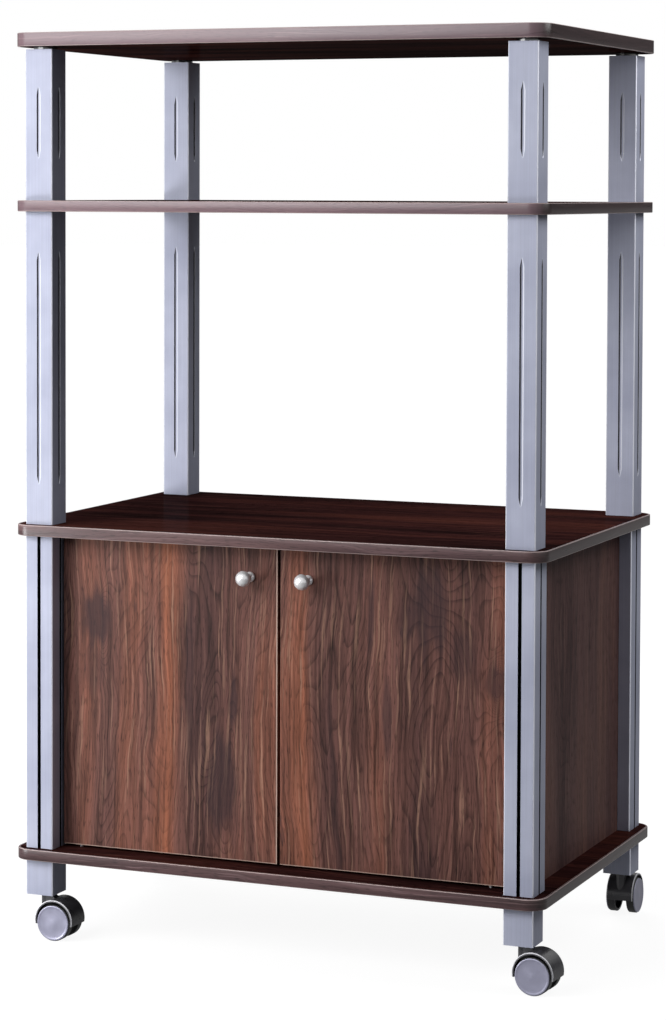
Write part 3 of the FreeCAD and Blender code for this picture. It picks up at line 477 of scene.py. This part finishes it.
def door_finish():
    material, tree, shader = new_finish("walnut_doors")
    x, y, z = place_of(tree)
    facing_y = facing_of(tree)[1]
    bent = wander(tree, x, z, 31.0)
    figure = walnut_figure(tree, bent, z, 31.0, DOOR_BURLS)
    width = spread(tree, bent, -DOOR_REACH, DOOR_REACH)
    stops = [((place + DOOR_REACH) / (2 * DOOR_REACH), tone)
             for place, tone in TONES_ALONG_WIDTH]
    broad = ramp(tree, width, stops)
    streaks = calc(tree, "SUBTRACT", figure["streaks"], 0.5)
    figure["streaks"] = calc(tree, "MULTIPLY_ADD", streaks, 0.6, broad)
    colour = walnut_colour(tree, figure, DOOR_TONES, DOOR_PALE, 0.75, 0.7)
    uneven = noise(tree, at(tree, bent, calc(tree, "MULTIPLY", z, 0.14), 5), 70, 3, 0.6)
    torn = spread(tree, uneven, 0.3, 0.7, 0, 0.75)
    for place, size, strength in DARK_PATCHES:
        near = calc(tree, "ADD", hill(tree, bent, z, place, size), torn)
        colour = mix(tree, spread(tree, near, 0.7, 1.2, 0, strength), colour, DOOR_DARK)
    # Painted highlight: a pale line on the front face along the foot of both leaves and up the
    # left leaf's meeting edge.
    foot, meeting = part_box("left_door")[0].z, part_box("left_door")[1].x
    foot_rim = spread(tree, z, foot + FOOT_RIM, foot + FOOT_RIM + RIM_SOFT, 0.8, 0)
    inner = meeting - MEETING_RIM
    middle_rim = calc(tree, "MULTIPLY", spread(tree, x, inner - RIM_SOFT, inner),
                      calc(tree, "LESS_THAN", x, 0))
    painted_edge_highlight = calc(tree, "MULTIPLY", calc(tree, "MAXIMUM", foot_rim, middle_rim),
               spread(tree, facing_y, -0.9, -0.6, 1, 0))
    colour = mix(tree, painted_edge_highlight, colour, DOOR_PAINTED_HIGHLIGHT)
    put(tree, shader.inputs["Base Color"], colour)
    put(tree, shader.inputs["Roughness"], spread(tree, figure["fibres"], 0.3, 0.7, 0.4, 0.55))
    shader.inputs["Specular IOR Level"].default_value = 0.15
    walnut_relief(tree, shader, figure)
    return material


dress(["left_door", "right_door"], door_finish())

# %% [markdown]
# ## The panels
# The side and back panels are thin sheets of the same walnut, with upright grain and a
# calmer figure. The grain runs along z, and what lies across it is y on the sides and x
# on the back, so both go through one finish with the two added together.

# %% Finish the panels
PANEL_TONES = (on_screen(72, 53, 53), on_screen(106, 80, 78), on_screen(128, 95, 86))
PANEL_PALE = on_screen(134, 106, 98)


def panel_finish():
    material, tree, shader = new_finish("walnut_panels")
    x, y, z = place_of(tree)
    across = calc(tree, "ADD", x, y)
    figure = walnut_figure(tree, wander(tree, across, z, 57.0), z, 57.0)
    colour = walnut_colour(tree, figure, PANEL_TONES, PANEL_PALE, 0.45, 0.4)
    put(tree, shader.inputs["Base Color"], colour)
    put(tree, shader.inputs["Roughness"], spread(tree, figure["fibres"], 0.3, 0.7, 0.45, 0.6))
    shader.inputs["Specular IOR Level"].default_value = 0.05
    walnut_relief(tree, shader, figure)
    return material


dress(named("left_side_panel", "right_side_panel", "back_panel"), panel_finish())

# %% [markdown]
# ## Silver paint
# The square tubes wear a pale silver paint with a lavender cast. Its flakes are so fine
# that it looks like chalk from the front, with only a weak mirror part, because a
# stronger one would show the lamp. The rounded long corners carry a painted highlight as
# fine bright lines, and those on the right are worn to bare metal. Slow clouds are the
# unevenness of a sprayed coat, and a noise stretched along the tube is the brushing of
# the steel under it. The walls of a pressed groove that are turned away from the front
# left, where the light comes from, get painted shade. The four columns mirror about the
# middle of the boards, so folding a place there with absolute values serves all four
# corners at once.

# %% Finish the tubes
low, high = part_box("cabinet_top")
BOARD_MIDDLE = (low.y + high.y) / 2
low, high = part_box("middle_post_front_right")
CORNER_X, TUBE_Y = (low.x + high.x) / 2, BOARD_MIDDLE - (low.y + high.y) / 2
TUBE_HALF = (high.x - low.x) / 2
GROOVE_HALF = 0.0030
SILVER_DARK, SILVER_PALE = on_screen(178, 182, 204), on_screen(200, 204, 224)
SILVER_PAINTED_HIGHLIGHT, SILVER_GROOVE_SHADE = on_screen(238, 240, 248), on_screen(52, 50, 58)


def from_corner(tree, x, y, column_y):
    """How far a place is from the middle line of its column, across and deep."""
    deep = calc(tree, "ABSOLUTE", calc(tree, "SUBTRACT", y, BOARD_MIDDLE))
    off_x = calc(tree, "ABSOLUTE", calc(tree, "SUBTRACT", calc(tree, "ABSOLUTE", x), CORNER_X))
    off_y = calc(tree, "ABSOLUTE", calc(tree, "SUBTRACT", deep, column_y))
    return off_x, off_y


def recess(tree, off_x, off_y, half, half_x, half_y, shallow):
    """1 in the slots or grooves at the middles of a column's faces, below the surface."""
    def inside(aside, depth, limit):
        near = calc(tree, "LESS_THAN", aside, half)
        return calc(tree, "MULTIPLY", near, calc(tree, "LESS_THAN", depth, limit - shallow))
    return calc(tree, "MAXIMUM", inside(off_x, off_y, half_y), inside(off_y, off_x, half_x))


def silver_web(tree, shader):
    """Colour, sheen and relief of the sprayed silver."""
    x, y, z = place_of(tree)
    facing_x, facing_y = facing_of(tree)[:2]
    coordinates = coordinates_of(tree)
    cloud = noise(tree, coordinates, 14, 3)
    brushed = noise(tree, at(tree, x, y, calc(tree, "MULTIPLY", z, 0.01)), 700, 2)
    flakes = noise(tree, coordinates, 2600, 1)
    colour = mix(tree, spread(tree, cloud, 0.3, 0.7), SILVER_DARK, SILVER_PALE)
    colour = mix(tree, 1, colour, spread(tree, brushed, 0.3, 0.7, 0.95, 1.03), "MULTIPLY")
    colour = mix(tree, 1, colour, spread(tree, flakes, 0.3, 0.7, 0.94, 1.02), "MULTIPLY")
    turned = calc(tree, "MINIMUM", calc(tree, "ABSOLUTE", facing_x),
                  calc(tree, "ABSOLUTE", facing_y))
    # Painted highlight: the rounded long corners are made pale, as fine bright lines.
    painted_corner_highlight = spread(tree, turned, 0.15, 0.45, 0, 0.75)
    colour = mix(tree, painted_corner_highlight, colour, SILVER_PAINTED_HIGHLIGHT)
    bare = calc(tree, "MINIMUM", facing_x, calc(tree, "ABSOLUTE", facing_y))
    put(tree, shader.inputs["Metallic"], spread(tree, bare, 0.15, 0.45, 0, 0.8))
    put(tree, shader.inputs["Roughness"], spread(tree, cloud, 0.3, 0.7, 0.4, 0.5))
    shader.inputs["Specular IOR Level"].default_value = 0.12
    bump(tree, shader, flakes, 0.00003)
    return colour


def tube_finish():
    material, tree, shader = new_finish("silver_tubes")
    x, y = place_of(tree)[:2]
    facing_x, facing_y = facing_of(tree)[:2]
    off_x, off_y = from_corner(tree, x, y, TUBE_Y)
    groove = recess(tree, off_x, off_y, GROOVE_HALF, TUBE_HALF, TUBE_HALF, 0.00025)
    # Painted shade: groove walls turned away from the front left are darkened.
    away = spread(tree, calc(tree, "ADD", facing_x, facing_y), -0.75, -0.35)
    painted_groove_shade = calc(tree, "MULTIPLY", groove, away)
    colour = mix(tree, painted_groove_shade, silver_web(tree, shader), SILVER_GROOVE_SHADE)
    put(tree, shader.inputs["Base Color"], colour)
    return material


dress(named("upper_post", "middle_post", "foot_tube"), tube_finish())

# %% [markdown]
# ## The slotted profiles
# The four cabinet corners are one extruded profile with a slot down every face. The
# slots hold the panels, and where they are empty their walls get painted shade, nearly
# black. The profiles are deeper than the tubes above them, with their front faces in
# line, so their middles lie further in and are measured anew.

# %% Finish the profiles
low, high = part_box("cabinet_post_front_right")
HALF_X, HALF_Y = (high.x - low.x) / 2, (high.y - low.y) / 2
PROFILE_Y = BOARD_MIDDLE - (low.y + high.y) / 2
SLOT_HALF = 0.0021


def profile_finish():
    material, tree, shader = new_finish("silver_profiles")
    x, y = place_of(tree)[:2]
    off_x, off_y = from_corner(tree, x, y, PROFILE_Y)
    # Painted shade: the walls of the slots are made nearly black.
    painted_slot_shade = recess(tree, off_x, off_y, SLOT_HALF, HALF_X, HALF_Y, 0.0003)
    colour = mix(tree, painted_slot_shade, silver_web(tree, shader), on_screen(14, 14, 16))
    put(tree, shader.inputs["Base Color"], colour)
    return material


print("profile middle", round(PROFILE_Y, 5), "tube middle", round(TUBE_Y, 5))
dress(named("cabinet_post"), profile_finish())

# %% [markdown]
# ## Metal parts
# The knobs and the doors' pins are satin plated: bright, with a faint fine grain. The
# screws, studs and nuts are zinc plated, which is greyer and cloudy. The magnets
# are dull. All three are one web with other numbers, because plating is a plain metal
# that is a little uneven in sheen and tone.

# %% Finish the metal parts
def metal_finish(name, colour, sheen, cloud_scale, bare=1.0):
    """Plated metal: bare is how far it behaves as metal, and below 1 it looks chalkier."""
    material, tree, shader = new_finish(name)
    coordinates = coordinates_of(tree)
    cloud = noise(tree, coordinates, cloud_scale, 4)
    tone = mix(tree, cloud, colour, tuple(0.82 * c for c in colour[:3]) + (1,))
    put(tree, shader.inputs["Base Color"], tone)
    put(tree, shader.inputs["Roughness"],
        spread(tree, cloud, 0.3, 0.7, sheen - 0.05, sheen + 0.05))
    shader.inputs["Metallic"].default_value = bare
    bump(tree, shader, noise(tree, coordinates, 3000, 1), 0.000008)
    return material


dress(["left_knob", "right_knob", "door_pivot_pins"],
      metal_finish("satin_metal", on_screen(252, 251, 253), 0.24, 120, 0.35))
dress(named("threaded_studs", "insert_nuts", "caster_stems", "catch_screw",
            "left_knob_screw", "right_knob_screw", "left_strike_plate", "right_strike_plate",
            "caster_axle"), metal_finish("zinc_plating", on_screen(216, 218, 222), 0.3, 260))
dress(["catch_magnets"], metal_finish("dull_magnet", on_screen(120, 120, 124), 0.5, 400))

# %% [markdown]
# ## Plastic parts
# The collars, plugs and treads are black moulded plastic. Moulded plastic has a fine
# spark-eroded grain from its mould, which scatters the highlight, and handling rubs it a
# little smoother in clouds. The collars are the glossiest and the treads the dullest.
# The hoods are made of the same web, further down, because each needs its own rim.

# %% Finish the plastic parts
def plastic_web(name, colour, sheen, grain=0.00004):
    """A moulded plastic, open to further nodes."""
    material, tree, shader = new_finish(name)
    coordinates = coordinates_of(tree)
    cloud = noise(tree, coordinates, 60, 3)
    grit = noise(tree, coordinates, 1800, 2)
    lighter = tuple(min(1, 1.35 * c) for c in colour[:3]) + (1,)
    tone = mix(tree, cloud, colour, lighter)
    put(tree, shader.inputs["Base Color"], tone)
    put(tree, shader.inputs["Roughness"],
        spread(tree, cloud, 0.3, 0.7, sheen - 0.06, sheen + 0.06))
    bump(tree, shader, grit, grain)
    return material, tree, shader


def plastic_finish(name, colour, sheen):
    """A moulded plastic with nothing added."""
    return plastic_web(name, colour, sheen)[0]


def collar_finish():
    """The collars' black plastic, polished under a clear skin."""
    material, tree, shader = plastic_web("collar_plastic", on_screen(10, 10, 11), 0.16)
    shader.inputs["Coat Weight"].default_value = 1.0
    shader.inputs["Coat Roughness"].default_value = 0.06
    return material


dress(named("tube_end_plugs", "foot_plugs", "catch_housing",
            "left_door_bushes", "right_door_bushes"),
      plastic_finish("black_plastic", on_screen(26, 26, 28), 0.35))
dress(["top_end_plugs"], collar_finish())
dress(named("caster_wheel"), plastic_finish("tread_plastic", on_screen(22, 22, 23), 0.42))

# %% [markdown]
# ## The caster hoods
# A hood is dark grey moulded plastic, and its rounded rim carries a painted highlight, a
# white arc all round it. The rim is where the surface faces neither along the axle nor
# square to it, so each hood's finish compares the way it faces with the way its own axle
# points. The wheel joints give that way. The round neck under the foot would pass the
# same test, so what lies close to the stem is kept grey, without the painted highlight.

# %% Finish the hoods
def twin_joints():
    """The two wheel joints of each caster body."""
    pairs = {}
    for joint in frame["joints"]:
        if joint["name"].startswith("wheel_"):
            pairs.setdefault(joint["parent"], []).append(joint)
    return pairs


NECK_REACH = 0.0054  # the neck's radius and a little more
HOOD_GREY, HOOD_RIM_HIGHLIGHT = on_screen(62, 61, 65), on_screen(240, 240, 246)


def hood_finish(name, axle, stem):
    """A hood's grey and the painted white highlight on its rim, from its axle's direction and
    its stem's place.
    """
    material, tree, shader = plastic_web(name, HOOD_GREY, 0.3)
    x, y = place_of(tree)[:2]
    facing = node(tree, "TexCoord").outputs["Normal"]
    along = node(tree, "VectorMath", facing, tuple(axle), operation="DOT_PRODUCT")
    turned = calc(tree, "ABSOLUTE", along.outputs["Value"])
    # Painted highlight: a white arc on the rounded rim, where the surface faces neither along
    # the axle nor square to it.
    painted_rim_highlight = calc(tree, "MULTIPLY", window(tree, turned, 0.25, 0.95, 0.06), 0.95)
    away = node(tree, "VectorMath", at(tree, x, y, 0), (stem[0], stem[1], 0),
                operation="DISTANCE").outputs["Value"]
    painted_rim_highlight = calc(tree, "MULTIPLY", painted_rim_highlight, calc(tree, "GREATER_THAN", away, NECK_REACH))
    plain = shader.inputs["Base Color"].links[0].from_socket
    put(tree, shader.inputs["Base Color"], mix(tree, painted_rim_highlight, plain, HOOD_RIM_HIGHLIGHT))
    return material


joint_places = {joint["child"]: joint["pos_m"] for joint in frame["joints"]}
for caster, joints in twin_joints().items():
    hood = caster.replace("caster", "caster_hood")
    axle = (Vector(joints[0]["pos_m"]) - Vector(joints[1]["pos_m"])).normalized()
    dress([hood], hood_finish(hood.replace("caster_", ""), axle, joint_places[caster]))

# %% [markdown]
# ## The discs on the wheels
# Each wheel wears a pale disc on its outer face, silver plastic with a lavender cast and
# a thin raised rim that catches the light. It is a turned shape, so a few points of its
# outline are spun once round the axle, which gives clean rings of faces and a true
# circle. Its place and direction come from the wheel joints, so a disc always fits its
# wheel and rides with it.

# %% Make the discs
DISC_OUTLINE = [  # from the middle outwards: radius and height above the wheel's face
    (0.0000, 0.00045), (0.0030, 0.00045), (0.0040, 0.00030), (0.0158, 0.00022),
    (0.0170, 0.00040), (0.0176, 0.00062), (0.0184, 0.00068), (0.0190, 0.00055),
    (0.0193, 0.00025), (0.0193, -0.00050),
]
DISC_STEPS = 96


def face_height(wheel, centre, direction):
    """How far the wheel's solid reaches from its centre along its axle."""
    return max((v.co - centre).dot(direction) for v in nodes[wheel].data.vertices)


def disc(name, centre, direction, height, body):
    """One disc, spun from its outline and placed on its wheel."""
    shape = bmesh.new()
    points = [shape.verts.new((radius, 0, up)) for radius, up in DISC_OUTLINE]
    edges = [shape.edges.new(pair) for pair in zip(points, points[1:])]
    bmesh.ops.spin(shape, geom=points + edges, cent=(0, 0, 0), axis=(0, 0, 1),
                   angle=math.tau, steps=DISC_STEPS, use_merge=True, use_duplicate=False)
    bmesh.ops.remove_doubles(shape, verts=shape.verts, dist=1e-6)
    turn = direction.to_track_quat("Z", "Y").to_matrix().to_4x4()
    bmesh.ops.transform(shape, matrix=Matrix.Translation(centre + direction * height) @ turn,
                        verts=shape.verts)
    return piece_from(shape, name, body, disc_material)


def disc_finish():
    material, tree, shader = new_finish("lavender_silver")
    coordinates = coordinates_of(tree)
    cloud = noise(tree, coordinates, 90, 3)
    put(tree, shader.inputs["Base Color"],
        mix(tree, cloud, on_screen(154, 154, 176), on_screen(178, 178, 200)))
    put(tree, shader.inputs["Roughness"], spread(tree, cloud, 0.3, 0.7, 0.3, 0.4))
    shader.inputs["Metallic"].default_value = 0.3
    bump(tree, shader, noise(tree, coordinates, 2400, 1), 0.00002)
    return material


disc_material = disc_finish()
for pair in twin_joints().values():
    for joint, twin in (pair, pair[::-1]):
        body = joint["child"]
        centre = Vector(joint["pos_m"])
        direction = (centre - Vector(twin["pos_m"])).normalized()
        disc(body.replace("wheel", "disc"), centre, direction,
             face_height("caster_" + body, centre, direction), body)

# %% [markdown]
# ## Floor, sky and lamps
# The cart stands in a white studio. White comes from what the camera sees of the sky and
# the floor, and not from stronger lamps, so colours stay as written. Shiny things see a
# white sky too, but behind the cart it has a low dark card, as studios use, which
# keeps the low-angle sheen off the board faces and the right-hand sides. The floor stays
# a real surface near the cart, so that soft shadows fall under it. A lamp behind lights
# the back for the other views, and shiny things don't see it.

# %% Build the studio
def white_sky(ambient):
    """A sky that looks white and lights the cart only a little."""
    world = bpy.data.worlds.new("studio")
    bpy.context.scene.world = world
    world.use_nodes = True
    tree = world.node_tree
    soft = tree.nodes["Background"]
    soft.inputs[0].default_value = (0.95, 0.97, 1, 1)
    soft.inputs[1].default_value = ambient
    direction = node(tree, "SeparateXYZ", node(tree, "TexCoord").outputs["Generated"])
    ray = node(tree, "LightPath")
    card = calc(tree, "MULTIPLY", spread(tree, direction.outputs[1], 0.3, 0.6),
                spread(tree, direction.outputs[2], 0.2, 0.4, 1, 0))
    mirrored = calc(tree, "MULTIPLY", ray.outputs["Is Glossy Ray"],
                    calc(tree, "SUBTRACT", 1, card))
    shown = calc(tree, "MAXIMUM", ray.outputs["Is Camera Ray"], mirrored)
    shown = calc(tree, "MAXIMUM", ray.outputs["Is Transmission Ray"], shown)
    seen = node(tree, "Background", (1, 1, 1, 1), 1.0)
    both = node(tree, "MixShader", shown, soft.outputs[0], seen.outputs[0])
    tree.links.new(both.outputs[0], tree.nodes["World Output"].inputs[0])


def white_floor():
    """A round floor that is white to the camera and still holds a shadow."""
    shape = bmesh.new()
    bmesh.ops.create_circle(shape, cap_ends=True, radius=40, segments=64)
    mesh = bpy.data.meshes.new("floor")
    shape.to_mesh(mesh)
    shape.free()
    floor = bpy.data.objects.new("floor", mesh)
    bpy.context.scene.collection.objects.link(floor)
    material, tree, shader = new_finish("studio_floor")
    far = node(tree, "VectorMath", coordinates_of(tree), operation="LENGTH").outputs["Value"]
    ray = node(tree, "LightPath")
    shown = calc(tree, "MULTIPLY_ADD", ray.outputs["Is Glossy Ray"], 0.3,
                 ray.outputs["Is Camera Ray"])
    glow = spread(tree, far, 0.4, 0.9, 0.92, 1.0)
    shader.inputs["Base Color"].default_value = (0.16, 0.16, 0.16, 1)
    shader.inputs["Roughness"].default_value = 0.9
    shader.inputs["Specular IOR Level"].default_value = 0.0
    shader.inputs["Emission Color"].default_value = (1, 1, 1, 1)
    put(tree, shader.inputs["Emission Strength"], calc(tree, "MULTIPLY", shown, glow))
    mesh.materials.append(material)


def soft_lamp(name, place, aim, width, height, watts):
    """A soft box that looks at a point."""
    light = bpy.data.lights.new(name, "AREA")
    light.shape = "RECTANGLE"
    light.size, light.size_y = width, height
    light.energy = watts
    lamp = bpy.data.objects.new(name, light)
    lamp.matrix_world = Matrix.Translation(place) @ (
        Vector(aim) - Vector(place)).to_track_quat("-Z", "Y").to_matrix().to_4x4()
    bpy.context.scene.collection.objects.link(lamp)
    lamp.visible_camera = False
    return lamp


white_sky(0.12)
white_floor()
soft_lamp("key", (-0.85, -1.50, 1.25), (-0.05, 0, 0.55), 1.5, 0.9, 27)
soft_lamp("left", (-1.20, -1.00, 0.20), (-0.2, 0, 0.25), 0.6, 0.6, 13)
soft_lamp("side", (1.15, 0.10, 1.40), (0.3, 0, 0.7), 0.8, 0.8, 6.5)
back_lamp = soft_lamp("back", (-0.90, 1.70, 1.10), (0, 0.2, 0.5), 1.2, 1.0, 22)
back_lamp.visible_glossy = False
